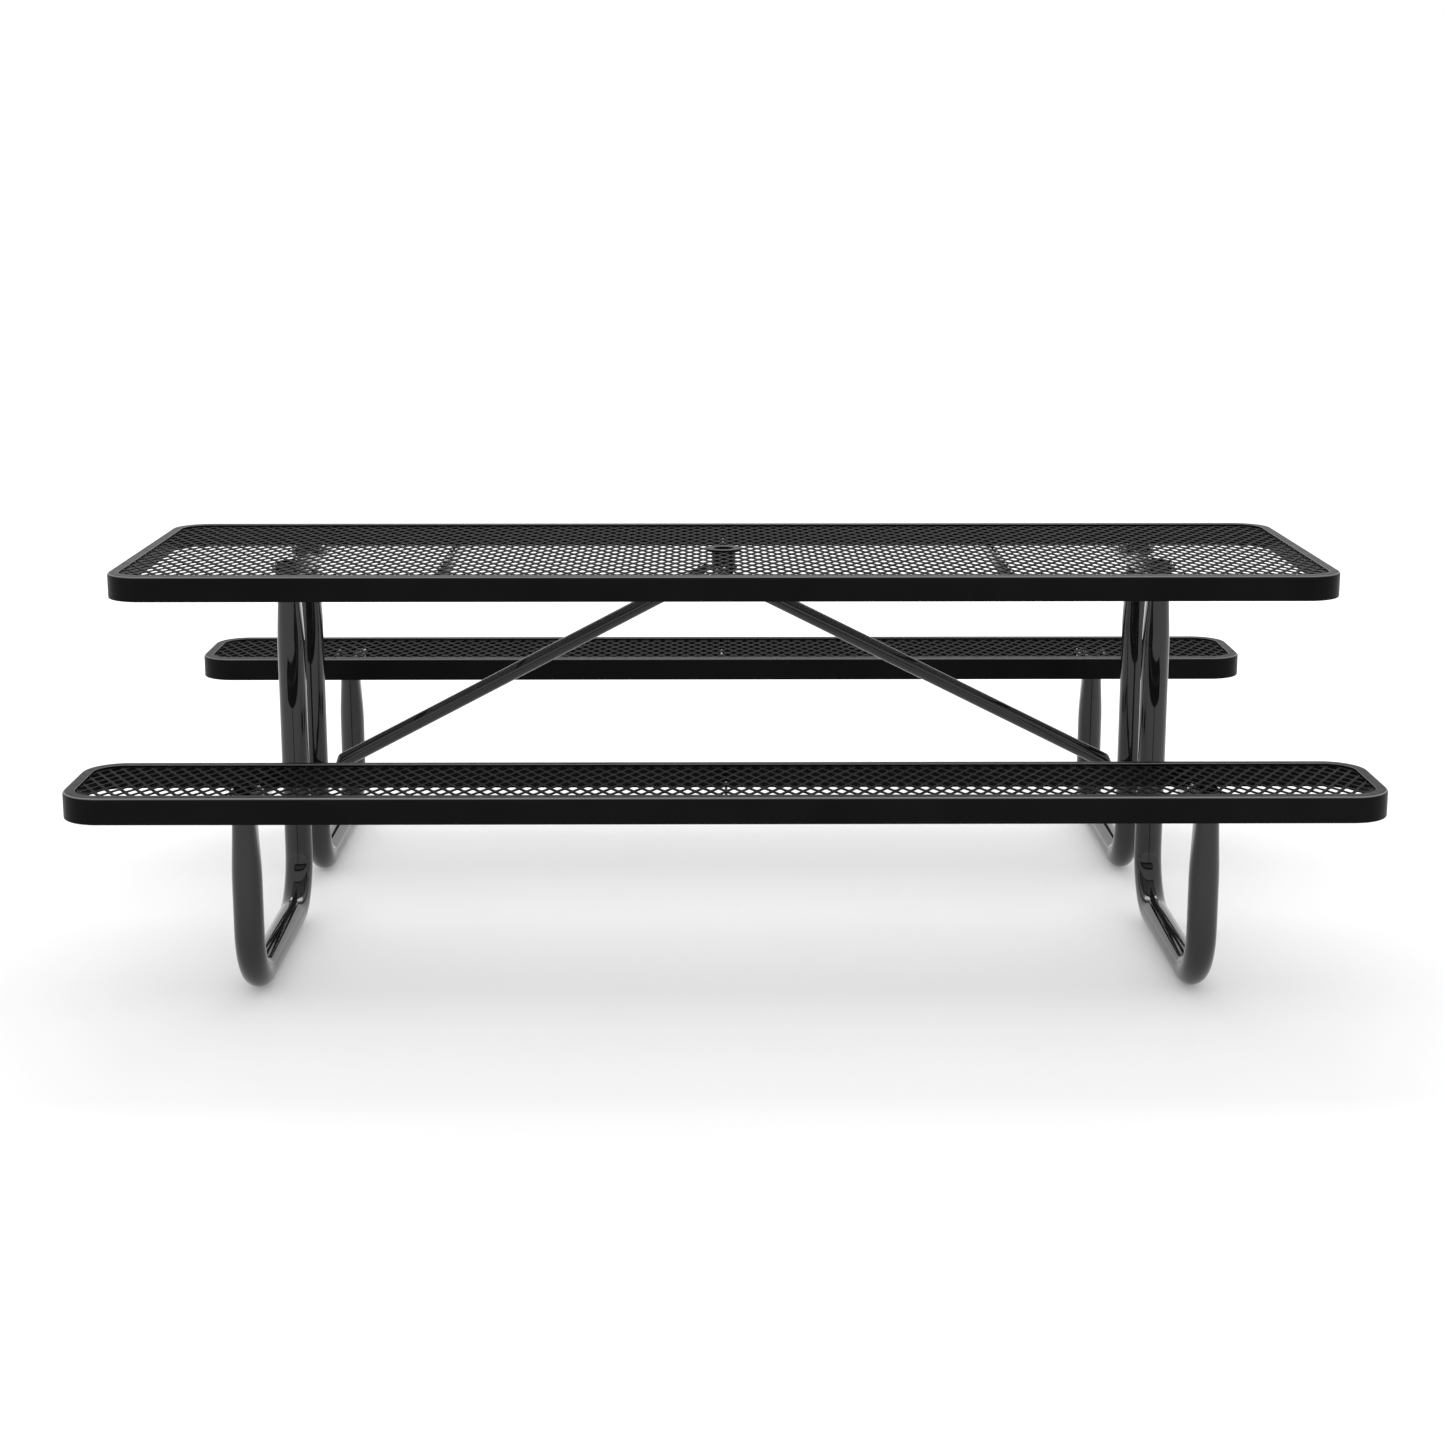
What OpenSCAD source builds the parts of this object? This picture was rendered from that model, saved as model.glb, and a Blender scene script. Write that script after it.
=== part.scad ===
// Eight-foot expanded-metal picnic table with two attached benches on a walk-through tube frame.
// Origin on the floor under the middle of the tabletop. +X runs along the table, +Z is up.

/* [Tabletop] */
// Length of the tabletop
top_l = 2438.4; // [2100:0.1:2900]
// Width of the tabletop
top_w = 762; // [630:0.1:920]
// Height of the tabletop's rim above the floor
top_h = 757.7; // [700:0.1:860]

/* [Benches] */
// Length of each bench
bench_l = 2438.4; // [2100:0.1:2900]
// Width of each bench
bench_w = 285; // [240:0.1:345]
// Height of each bench's rim above the floor
bench_h = 420.3; // [380:0.1:510]
// Distance from the table's middle to the middle of a bench
bench_y = 664.7; // [610:0.1:740]

/* [Rims and mesh] */
// Depth of the rims' skirt
rim_depth = 50.8; // [42:0.1:60]
// Thickness of the coated rim
rim_t = 4; // [3:0.1:5]
// Width of the rim's top flange
rim_flange = 22.5; // [16:0.1:30]
// Radius of the rim's bent top edge
rim_edge_r = 6.35; // [5.5:0.05:8]
// Radius of the rims' corners in plan
corner_r = 76.2; // [60:0.1:100]
// Thickness of the coated expanded sheet
mesh_t = 2.2; // [1.6:0.1:6]
// Clearance round the expanded sheets
mesh_gap = 0.2; // [0.1:0.05:0.5]

/* [Cross-members] */
// Height of the flat bars between the end frames
mid_bar_h = 32; // [26:0.1:40]
// Height of the flat bars that the legs are bolted to
end_bar_h = 44; // [36:0.1:46]
// Thickness of the flat bars
bar_t = 4.8; // [3:0.1:6]
// Distance from the middle to the tabletop's inner bars
mid_bar_x = 566; // [480:1:650]

/* [Leg tubes] */
// Distance from the middle to each end frame
leg_x = 892.6; // [750:0.1:960]
// Outside diameter of the leg tube
tube_d = 56.4; // [47:0.1:68]
// Wall of the leg tube
tube_wall = 3.4; // [2.5:0.1:5]
// Bend radius at the tube's centre line
bend_r = 114.3; // [90:0.1:140]
// Distance from the table's middle to an inner upright
inner_y = 125.6; // [105:0.1:160]
// Distance from a bench's middle out to its upright
outer_offset = 44.7; // [20:0.1:60]
// Thickness of the pressed top of each upright
press_t = 43.4; // [36:0.1:50]
// Distance that each pressed top reaches below its bar
press_below = 0.3; // [0:0.1:8]
// Length of the taper below the pressed top
taper_l = 136; // [80:1:180]
// Gap between an upright's top and the expanded sheet
leg_top_gap = 3.3; // [1:0.1:6]

/* [Braces] */
// Outside diameter of the brace tube
brace_d = 31.75; // [25:0.05:38]
// Thickness of the flattened brace ends
tab_t = 5.5; // [4:0.1:7]
// Width of the flattened brace ends
tab_w = 44; // [34:0.5:50]
// Sideways distance of each brace's upper end from the middle
brace_y = 70; // [55:1:100]
// Height of the tie bars' top face
tie_z = 268; // [180:1:330]
// Horizontal leg of the tie bars
tie_leg = 42; // [36:0.5:50]
// Vertical leg of the tie bars
tie_drop = 25; // [15:0.5:40]

/* [Umbrella sleeve] */
// Inside diameter of the umbrella sleeve
sleeve_bore = 43; // [35:0.1:52]
// Wall of the umbrella sleeve
sleeve_wall = 2.65; // [2:0.05:4]
// Outside diameter of the collar round the sleeve's top
collar_d = 73; // [64:0.5:90]

/* [Fasteners] */
// Bolt diameter
bolt_d = 9.5; // [8:0.1:10]
// Clearance round a bolt, on the diameter
bolt_gap = 0.9; // [0.4:0.1:1.2]
// Distance between the two bolts of an upright
bolt_pitch = 32; // [26:0.5:36]

/* [Hidden] */
$fn = 64;
hull_fn = 48;
slice = 0.1;
neck_in = 1;
neck_step = 0.6;
past = 1;

rim_colour = [0.03, 0.03, 0.032];
mesh_colour = [0.05, 0.05, 0.052];
frame_colour = [0.07, 0.07, 0.075];
bolt_colour = [0.35, 0.35, 0.36];

mesh_low = rim_t + mesh_t;
tube_r = tube_d / 2;
outer_y = bench_y + outer_offset;
press_w = press_t + PI / 2 * (tube_d - press_t);
press_l = end_bar_h - leg_top_gap + press_below;
bar_x = leg_x - press_t / 2;
hole_d = bolt_d + bolt_gap;
weld_gap = 0.1;

table_bar_z = top_h - mesh_low;
bench_bar_z = bench_h - mesh_low;
sleeve_r = sleeve_bore / 2 + sleeve_wall;

// Bolts, nuts and washers
head_af = 14.3;
head_h = 6.4;
nut_h = 8.2;
nut_gap = 0.2;
washer_d = 20.6;
washer_t = 1.6;
thread_past = 3;
washer_side_gap = 1.4;
nut_side_gap = 2.45;
leg_grip = press_t + bar_t;
bar_bolt_drop = bar_t + washer_d / 2 + washer_side_gap;

// The flattened brace ends lie under lugs at the lower edge of the centre bars.
lug_t = bar_t;
lug_margin = 2;
lug_w = tab_w - 2 * lug_margin;
skirt_cover = 1.8;
brace_top_z = top_h - rim_depth + skirt_cover;
centre_bar_h = table_bar_z - brace_top_z - lug_t;

// Brace in plan: from its crossing of the middle to the bolt on the tie bar.
tie_bolt_in = 17.4;
brace_bolt_x = leg_x - tie_leg + tie_bolt_in;
brace_run = norm([brace_bolt_x, brace_y]);
brace_turn = atan2(brace_y, brace_bolt_x);
tab_past = 18;
upper_bolt_s = -(bar_t + head_af) / 2 - nut_side_gap;
upper_tip_s = upper_bolt_s - tab_past;
upper_root_s = 30;
lower_root_in = 26;
lower_root_s = brace_run - lower_root_in;
lower_tip_s = brace_run + tab_past;
press_run = 30;
tube_rise = 6.4;
lower_rise = 0.3;

// ---- shapes shared by several pieces ----

module rounded_rect(length, width, radius) {
    square([length - 2 * radius, width], center = true);
    square([length, width - 2 * radius], center = true);
    for (sx = [-1, 1], sy = [-1, 1])
        translate([sx * (length / 2 - radius), sy * (width / 2 - radius)])
            circle(r = radius);
}

// Section of a rim: outer face at x = 0, top at y = 0, the inside towards -x.
module rim_section() {
    translate([-rim_t, -rim_depth + rim_t / 2])
        square([rim_t, rim_depth - rim_t / 2 - rim_edge_r]);
    translate([-rim_t / 2, -rim_depth + rim_t / 2])
        circle(d = rim_t);
    translate([-rim_flange + rim_t / 2, -rim_t])
        square([rim_flange - rim_t / 2 - rim_edge_r, rim_t]);
    translate([-rim_flange + rim_t / 2, -rim_t / 2])
        circle(d = rim_t);
    intersection() {
        translate([-rim_edge_r, -rim_edge_r])
            difference() {
                circle(r = rim_edge_r);
                circle(r = rim_edge_r - rim_t);
            }
        translate([-rim_edge_r, -rim_edge_r])
            square(rim_edge_r);
    }
}

module rim_run(length) {
    translate([0, length / 2, 0])
        rotate([90, 0, 0])
            linear_extrude(length)
                rim_section();
}

module rim_corner() {
    rotate_extrude(angle = 90)
        translate([corner_r, 0])
            rim_section();
}

// Closed rim with its top face at z = 0.
module rim(length, width) {
    long_run = length - 2 * corner_r;
    short_run = width - 2 * corner_r;
    for (turn = [0, 180])
        rotate([0, 0, turn]) {
            translate([length / 2, 0, 0]) rim_run(short_run);
            translate([long_run / 2, short_run / 2, 0]) rim_corner();
            rotate([0, 0, 90]) translate([width / 2, 0, 0]) rim_run(long_run);
            translate([-long_run / 2, short_run / 2, 0]) rotate([0, 0, 90]) rim_corner();
        }
}

// Expanded sheet that fills a rim, its top level with the underside of the rim's flange.
module sheet(length, width) {
    inset = rim_flange + mesh_gap;
    translate([0, 0, -mesh_low])
        linear_extrude(mesh_t)
            rounded_rect(length - 2 * inset, width - 2 * inset, corner_r - inset);
}

// Flat bar on edge along Y: its outboard face at x = 0, its top edge at z = 0.
module flat_bar(length, height) {
    translate([-bar_t, -length / 2, -height])
        cube([bar_t, length, height]);
}

// Holes through a flat bar for the two bolts of a leg tube, centred at y.
module bar_holes(y) {
    for (s = [-1, 1])
        translate([-bar_t - past, y + s * bolt_pitch / 2, -bar_bolt_drop])
            rotate([0, 90, 0])
                cylinder(d = hole_d, h = bar_t + 2 * past);
}

module at_side(side) {
    if (side > 0) children();
    else mirror([1, 0, 0]) children();
}

// ---- tabletop ----

module table_rim() {
    color(rim_colour) translate([0, 0, top_h]) rim(top_l, top_w);
}

module table_mesh() {
    color(mesh_colour)
        difference() {
            translate([0, 0, top_h]) sheet(top_l, top_w);
            translate([0, 0, table_bar_z - past])
                cylinder(r = collar_d / 2 + mesh_gap, h = mesh_t + 2 * past);
        }
}

// Sleeve with a collar that stands on the centre bars, its top level with the rim's.
module umbrella_sleeve() {
    color(rim_colour)
        difference() {
            union() {
                translate([0, 0, brace_top_z])
                    cylinder(r = sleeve_r, h = top_h - brace_top_z);
                translate([0, 0, table_bar_z])
                    cylinder(d = collar_d, h = top_h - table_bar_z);
            }
            translate([0, 0, brace_top_z - past])
                cylinder(d = sleeve_bore, h = top_h - brace_top_z + 2 * past);
        }
}

module table_end_bar(side) {
    color(frame_colour)
        at_side(side)
            translate([bar_x, 0, table_bar_z])
                difference() {
                    flat_bar(top_w - 2 * rim_t, end_bar_h);
                    bar_holes(-inner_y);
                    bar_holes(inner_y);
                }
}

module table_mid_bar(side) {
    color(frame_colour)
        at_side(side)
            translate([mid_bar_x + bar_t, 0, table_bar_z])
                flat_bar(top_w - 2 * rim_t, mid_bar_h);
}

// Flat bar on edge from the sleeve to the rear rim, with a lug under it for a brace.
module table_centre_bar() {
    run = top_w / 2 - rim_t;
    color(frame_colour)
        difference() {
            union() {
                translate([-bar_t / 2, 0, table_bar_z - centre_bar_h])
                    cube([bar_t, run, centre_bar_h]);
                translate([-lug_w / 2, brace_y - lug_w / 2, brace_top_z])
                    cube([lug_w, lug_w, lug_t]);
            }
            translate([0, 0, brace_top_z - past])
                cylinder(r = sleeve_r + weld_gap, h = table_bar_z - brace_top_z + 2 * past);
            brace_upper_bolt_place()
                translate([0, 0, -past])
                    cylinder(d = hole_d, h = lug_t + 2 * past);
        }
}

// ---- benches, drawn for the bench at +Y ----

module bench_rim() {
    color(rim_colour) translate([0, bench_y, bench_h]) rim(bench_l, bench_w);
}

module bench_mesh() {
    color(mesh_colour) translate([0, bench_y, bench_h]) sheet(bench_l, bench_w);
}

module bench_end_bar(side) {
    color(frame_colour)
        at_side(side)
            translate([bar_x, bench_y, bench_bar_z])
                difference() {
                    flat_bar(bench_w - 2 * rim_t, end_bar_h);
                    bar_holes(outer_offset);
                }
}

module bench_centre_bar() {
    length = bench_w - 2 * rim_t;
    color(frame_colour)
        translate([bar_t / 2, bench_y, bench_bar_z])
            flat_bar(length, mid_bar_h);
}

// ---- leg tubes, drawn for the legs at +Y ----

// Cross-section of an upright's pressed top, inset from the tube's outside.
module press_section(inset) {
    thick = press_t - 2 * inset;
    wide = press_w - 2 * inset;
    square([thick, wide - thick], center = true);
    for (s = [-1, 1])
        translate([0, s * (wide - thick) / 2])
            circle(d = thick);
}

// Upright from the bend to its top at z = top, taper and pressed end included.
module upright(top, inset, over) {
    low = tube_r + bend_r;
    press_z = top - press_l;
    taper_z = press_z - taper_l;
    translate([0, 0, low])
        cylinder(r = tube_r - inset, h = taper_z - low);
    hull() {
        translate([0, 0, taper_z])
            cylinder(r = tube_r - inset, h = slice, $fn = hull_fn);
        translate([0, 0, press_z - slice])
            linear_extrude(slice)
                press_section(inset, $fn = hull_fn);
    }
    translate([0, 0, press_z])
        linear_extrude(press_l + over)
            press_section(inset);
}

module bend(inset) {
    rotate_extrude(angle = 90)
        translate([bend_r, 0])
            circle(r = tube_r - inset);
}

// Whole U of the leg tube in the plane x = 0, inset from its outside.
module leg_path(inset, over) {
    floor_run = outer_y - inner_y - 2 * bend_r;
    translate([0, inner_y, 0])
        upright(table_bar_z - leg_top_gap, inset, over);
    translate([0, outer_y, 0])
        upright(bench_bar_z - leg_top_gap, inset, over);
    translate([0, inner_y + bend_r, tube_r + bend_r])
        rotate([-90, 0, -90]) bend(inset);
    translate([0, outer_y - bend_r, tube_r + bend_r])
        rotate([-90, 0, 90]) bend(inset);
    translate([0, inner_y + bend_r, tube_r])
        rotate([-90, 0, 0])
            cylinder(r = tube_r - inset, h = floor_run);
}

module leg_holes(y, bar_z) {
    for (s = [-1, 1])
        translate([-tube_d, y + s * bolt_pitch / 2, bar_z - bar_bolt_drop])
            rotate([0, 90, 0])
                cylinder(d = hole_d, h = 2 * tube_d);
}

module leg(side) {
    color(frame_colour)
        translate([side * leg_x, 0, 0])
            difference() {
                leg_path(0, 0);
                leg_path(tube_wall, past);
                leg_holes(inner_y, table_bar_z);
                leg_holes(outer_y, bench_bar_z);
            }
}

// Angle between the inner uprights, coped to their round faces.
module tie_bar(side) {
    half = inner_y - tube_r / 2;
    color(frame_colour)
        at_side(side)
            difference() {
                union() {
                    translate([leg_x - tie_leg, -half, tie_z - bar_t])
                        cube([tie_leg, 2 * half, bar_t]);
                    translate([leg_x - bar_t, -half, tie_z - tie_drop])
                        cube([bar_t, 2 * half, tie_drop]);
                }
                for (s = [-1, 1])
                    translate([leg_x, s * inner_y, tie_z - tie_drop - past])
                        cylinder(r = tube_r + weld_gap, h = tie_drop + 2 * past);
                translate([brace_bolt_x, 0, tie_z - bar_t - past])
                    cylinder(d = hole_d, h = bar_t + 2 * past);
            }
}

// ---- braces, drawn for the one that ends at -X with its upper end at +Y ----

// Local x runs from the brace's crossing of the middle down to the tie bar.
module brace_place() {
    translate([0, brace_y, 0])
        rotate([0, 0, 180 + brace_turn])
            children();
}

module brace_upper_bolt_place() {
    brace_place()
        translate([upper_bolt_s, 0, brace_top_z])
            children();
}

module brace_lower_bolt_place() {
    brace_place()
        translate([brace_run, 0, tie_z])
            children();
}

function brace_z(s) =
    brace_top_z + tube_rise - s * (brace_top_z + tube_rise - tie_z - tab_t / 2 - lower_rise) / brace_run;

module brace_tab(from, to, tip_at_end) {
    centre = tip_at_end ? to - tab_w / 2 : from + tab_w / 2;
    far = tip_at_end ? from : to;
    translate([min(centre, far), -tab_w / 2])
        square([abs(far - centre), tab_w]);
    translate([centre, 0])
        circle(d = tab_w);
}

module brace() {
    round_from = upper_root_s + press_run;
    round_to = lower_root_s - press_run;
    tilt = atan2(brace_z(round_to) - brace_z(round_from), round_to - round_from);
    length = norm([round_to - round_from, brace_z(round_to) - brace_z(round_from)]);
    color(frame_colour)
        brace_place()
            difference() {
                union() {
                    translate([round_from, 0, brace_z(round_from)])
                        rotate([0, 90 - tilt, 0])
                            cylinder(d = brace_d, h = length);
                    hull() {
                        translate([round_from, 0, brace_z(round_from)])
                            rotate([0, 90 - tilt, 0])
                                cylinder(d = brace_d - neck_step, h = neck_in, $fn = hull_fn);
                        translate([upper_root_s, -tab_w / 2, brace_top_z - tab_t])
                            cube([slice, tab_w, tab_t]);
                    }
                    hull() {
                        translate([round_to, 0, brace_z(round_to)])
                            rotate([0, 90 - tilt, 0])
                                translate([0, 0, -neck_in])
                                    cylinder(d = brace_d - neck_step, h = neck_in, $fn = hull_fn);
                        translate([lower_root_s - slice, -tab_w / 2, tie_z])
                            cube([slice, tab_w, tab_t]);
                    }
                    translate([0, 0, brace_top_z - tab_t])
                        linear_extrude(tab_t)
                            brace_tab(upper_tip_s, upper_root_s, false);
                    translate([0, 0, tie_z])
                        linear_extrude(tab_t)
                            brace_tab(lower_root_s, lower_tip_s, true);
                }
                translate([upper_bolt_s, 0, brace_top_z - tab_t - past])
                    cylinder(d = hole_d, h = tab_t + 2 * past);
                translate([brace_run, 0, tie_z - past])
                    cylinder(d = hole_d, h = tab_t + 2 * past);
            }
}

// ---- fasteners: axis along z, the clamped stack from z = 0 down to -grip ----

module hex(height) {
    cylinder(d = head_af / cos(30), h = height, $fn = 6);
}

module bolt(grip, top_washer) {
    stack = grip + washer_t;
    translate([0, 0, top_washer ? washer_t : 0]) {
        hex(head_h);
        translate([0, 0, -stack - nut_h - thread_past])
            cylinder(d = bolt_d, h = stack + nut_h + thread_past + past);
    }
}

module washer() {
    difference() {
        cylinder(d = washer_d, h = washer_t);
        translate([0, 0, -past])
            cylinder(d = hole_d, h = washer_t + 2 * past);
    }
}

module nut() {
    difference() {
        hex(nut_h);
        translate([0, 0, -past])
            cylinder(d = bolt_d + nut_gap, h = nut_h + 2 * past);
    }
}

// Places of the bolts of every upright at height z, heads on the outboard side.
module each_leg_bolt(y, bar_z) {
    for (sx = [-1, 1], sy = [-1, 1], s = [-1, 1])
        translate([sx * (leg_x + press_t / 2), sy * y + s * bolt_pitch / 2, bar_z - bar_bolt_drop])
            rotate([0, sx * 90, 0])
                children();
}

module leg_bolts(y, bar_z) {
    color(bolt_colour) each_leg_bolt(y, bar_z) bolt(leg_grip + washer_t, true);
}

module leg_washers(y, bar_z) {
    color(bolt_colour)
        each_leg_bolt(y, bar_z) {
            washer();
            translate([0, 0, -leg_grip - washer_t]) washer();
        }
}

module leg_nuts(y, bar_z) {
    color(bolt_colour)
        each_leg_bolt(y, bar_z)
            translate([0, 0, -leg_grip - washer_t - nut_h]) nut();
}

// The two braces are turned copies of each other.
module each_brace() {
    for (turn = [0, 180]) rotate([0, 0, turn]) children();
}

module brace_bolts() {
    color(bolt_colour)
        each_brace() {
            brace_upper_bolt_place()
                translate([0, 0, -tab_t])
                    mirror([0, 0, 1]) bolt(tab_t + lug_t - washer_t, false);
            brace_lower_bolt_place()
                translate([0, 0, tab_t]) bolt(tab_t + bar_t - washer_t, false);
        }
}

module brace_nuts() {
    color(bolt_colour)
        each_brace() {
            brace_upper_bolt_place()
                translate([0, 0, lug_t]) nut();
            brace_lower_bolt_place()
                translate([0, 0, -bar_t - nut_h]) nut();
        }
}

module front() {
    mirror([0, 1, 0]) children();
}

table_rim();
table_mesh();
umbrella_sleeve();
table_end_bar(-1);  // table_end_bar_left
table_end_bar(1);  // table_end_bar_right
table_mid_bar(-1);  // table_mid_bar_left
table_mid_bar(1);  // table_mid_bar_right
rotate([0, 0, 180]) table_centre_bar();  // table_centre_bar_front
table_centre_bar();  // table_centre_bar_rear
front() bench_rim();  // front_bench_rim
front() bench_mesh();  // front_bench_mesh
front() bench_end_bar(-1);  // front_bench_end_bar_left
front() bench_end_bar(1);  // front_bench_end_bar_right
front() bench_centre_bar();  // front_bench_centre_bar
bench_rim();  // rear_bench_rim
bench_mesh();  // rear_bench_mesh
bench_end_bar(-1);  // rear_bench_end_bar_left
bench_end_bar(1);  // rear_bench_end_bar_right
bench_centre_bar();  // rear_bench_centre_bar
front() leg(-1);  // leg_front_left
front() leg(1);  // leg_front_right
leg(-1);  // leg_rear_left
leg(1);  // leg_rear_right
tie_bar(-1);  // tie_bar_left
tie_bar(1);  // tie_bar_right
brace();  // brace_left
rotate([0, 0, 180]) brace();  // brace_right
leg_bolts(inner_y, table_bar_z);  // table_leg_bolts
leg_washers(inner_y, table_bar_z);  // table_leg_washers
leg_nuts(inner_y, table_bar_z);  // table_leg_nuts
leg_bolts(outer_y, bench_bar_z);  // bench_leg_bolts
leg_washers(outer_y, bench_bar_z);  // bench_leg_washers
leg_nuts(outer_y, bench_bar_z);  // bench_leg_nuts
brace_bolts();
brace_nuts();
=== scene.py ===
import math

import bmesh
import bpy
from mathutils import Matrix, Vector


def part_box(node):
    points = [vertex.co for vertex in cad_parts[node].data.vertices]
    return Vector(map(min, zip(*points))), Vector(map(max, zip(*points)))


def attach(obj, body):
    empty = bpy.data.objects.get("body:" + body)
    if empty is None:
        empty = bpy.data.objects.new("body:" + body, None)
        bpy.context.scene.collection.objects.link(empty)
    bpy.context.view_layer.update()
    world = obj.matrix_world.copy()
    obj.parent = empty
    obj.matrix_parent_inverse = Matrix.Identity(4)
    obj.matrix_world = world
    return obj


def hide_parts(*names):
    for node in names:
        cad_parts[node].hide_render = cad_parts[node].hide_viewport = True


# Looks of the expanded-metal picnic table around its CAD frame. Metres, +X along the table, +Z up.

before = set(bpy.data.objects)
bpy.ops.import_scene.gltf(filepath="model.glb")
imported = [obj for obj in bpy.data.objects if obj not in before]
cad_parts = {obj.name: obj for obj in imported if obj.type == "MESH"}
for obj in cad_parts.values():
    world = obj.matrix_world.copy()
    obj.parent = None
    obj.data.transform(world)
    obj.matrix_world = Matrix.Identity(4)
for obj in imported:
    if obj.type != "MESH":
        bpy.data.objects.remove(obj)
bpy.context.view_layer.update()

# ---- sizes that the CAD model also has ----

RIM_T = 0.004
RIM_FLANGE = 0.0225
RIM_EDGE_R = 0.00635
CORNER_R = 0.0762
TUBE_D = 0.0564
TUBE_WALL = 0.0034
BEND_R = 0.1143
PRESS_T = 0.0434
PRESS_L = 0.041
TAPER_L = 0.136
LEG_TOP_GAP = 0.0033
BAR_T = 0.0048
BRACE_D = 0.03175
TAB_T = 0.0055
TAB_W = 0.044
BRACE_Y = 0.070
TIE_BOLT_IN = 0.0174
SLEEVE_BORE = 0.043
SLEEVE_WALL = 0.00265
COLLAR_D = 0.073
BOLT_D = 0.0095
BOLT_PITCH = 0.032
BOLT_DROP = 0.0165
HEAD_AF = 0.0143
HEAD_H = 0.0064
NUT_H = 0.0082
WASHER_D = 0.0206
WASHER_T = 0.0016
THREAD_PAST = 0.003
UPPER_BOLT_S = -0.012
TAB_PAST = 0.018
UPPER_ROOT_S = 0.030
LOWER_ROOT_IN = 0.026
LUG_W = 0.040

PRESS_W = PRESS_T + math.pi / 2 * (TUBE_D - PRESS_T)
TUBE_R = TUBE_D / 2

leg_low, leg_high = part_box("leg_rear_right")
LEG_X = (leg_low.x + leg_high.x) / 2
INNER_Y = leg_low.y + PRESS_W / 2
OUTER_Y = leg_high.y - PRESS_W / 2
TABLE_BAR_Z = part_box("table_end_bar_right")[1].z
BENCH_BAR_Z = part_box("rear_bench_end_bar_right")[1].z
TIE_TOP_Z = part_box("tie_bar_right")[1].z
BRACE_TOP_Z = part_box("brace_right")[1].z
TIE_EDGE_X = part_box("tie_bar_right")[0].x

# ---- materials ----


def add_node(tree, kind, **inputs):
    node = tree.nodes.new(kind)
    for key, value in inputs.items():
        node.inputs[key.replace("_", " ")].default_value = value
    return node


def noise(tree, scale, detail=3.0):
    """Noise in the object's own coordinates, its features about 1 / scale metres wide."""
    place = tree.nodes.new("ShaderNodeTexCoord")
    texture = add_node(tree, "ShaderNodeTexNoise", Scale=scale, Detail=detail, Roughness=0.5)
    tree.links.new(place.outputs["Object"], texture.inputs["Vector"])
    return texture.outputs["Fac"]


def ramp(tree, factor, low, high, start=0.3, stop=0.7):
    """Colour that goes from low to high while the factor goes from start to stop."""
    node = tree.nodes.new("ShaderNodeValToRGB")
    node.color_ramp.elements[0].position = start
    node.color_ramp.elements[0].color = low
    node.color_ramp.elements[1].position = stop
    node.color_ramp.elements[1].color = high
    tree.links.new(factor, node.inputs["Fac"])
    return node.outputs["Color"]


def spread(tree, factor, low, high, start=0.3, stop=0.7):
    """Number that goes from low to high while the factor goes from start to stop."""
    node = tree.nodes.new("ShaderNodeMapRange")
    node.inputs["From Min"].default_value = start
    node.inputs["From Max"].default_value = stop
    node.inputs["To Min"].default_value = low
    node.inputs["To Max"].default_value = high
    tree.links.new(factor, node.inputs["Value"])
    return node.outputs["Result"]


def grey(value, warm=0.0):
    """Opaque grey, its red raised and its blue lowered by the share warm."""
    return (value * (1 + warm), value, value * (1 - warm), 1.0)


def finish_material(name, dark, light, patch_scale, rough, rough_scale, bumps, **sockets):
    """Material whose colour varies between two greys, its roughness over a range, with layers of bump."""
    material = bpy.data.materials.new(name)
    material.use_nodes = True
    tree = material.node_tree
    shader = tree.nodes["Principled BSDF"]
    tree.links.new(ramp(tree, noise(tree, patch_scale), dark, light), shader.inputs["Base Color"])
    tree.links.new(spread(tree, noise(tree, rough_scale), *rough), shader.inputs["Roughness"])
    normal = None
    for scale, strength, distance in bumps:
        bump = add_node(tree, "ShaderNodeBump", Strength=strength, Distance=distance)
        tree.links.new(noise(tree, scale, 2.0), bump.inputs["Height"])
        if normal:
            tree.links.new(normal, bump.inputs["Normal"])
        normal = bump.outputs["Normal"]
    tree.links.new(normal, shader.inputs["Normal"])
    for key, value in sockets.items():
        shader.inputs[key.replace("_", " ")].default_value = value
    return material


rim_coating = finish_material(
    "rim_coating", grey(0.0040), grey(0.0058), 9.0, (0.30, 0.40), 60.0,
    [(700.0, 0.10, 0.0004), (45.0, 0.04, 0.0012)], Specular_IOR_Level=0.04)
mesh_coating = finish_material(
    "mesh_coating", grey(0.0025), grey(0.0045), 14.0, (0.42, 0.52), 90.0,
    [(600.0, 0.12, 0.0004)], Specular_IOR_Level=0.02)
frame_paint = finish_material(
    "frame_paint", grey(0.0050), grey(0.0075), 5.0, (0.03, 0.06), 30.0,
    [(260.0, 0.018, 0.0006)], Specular_IOR_Level=0.50)


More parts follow.
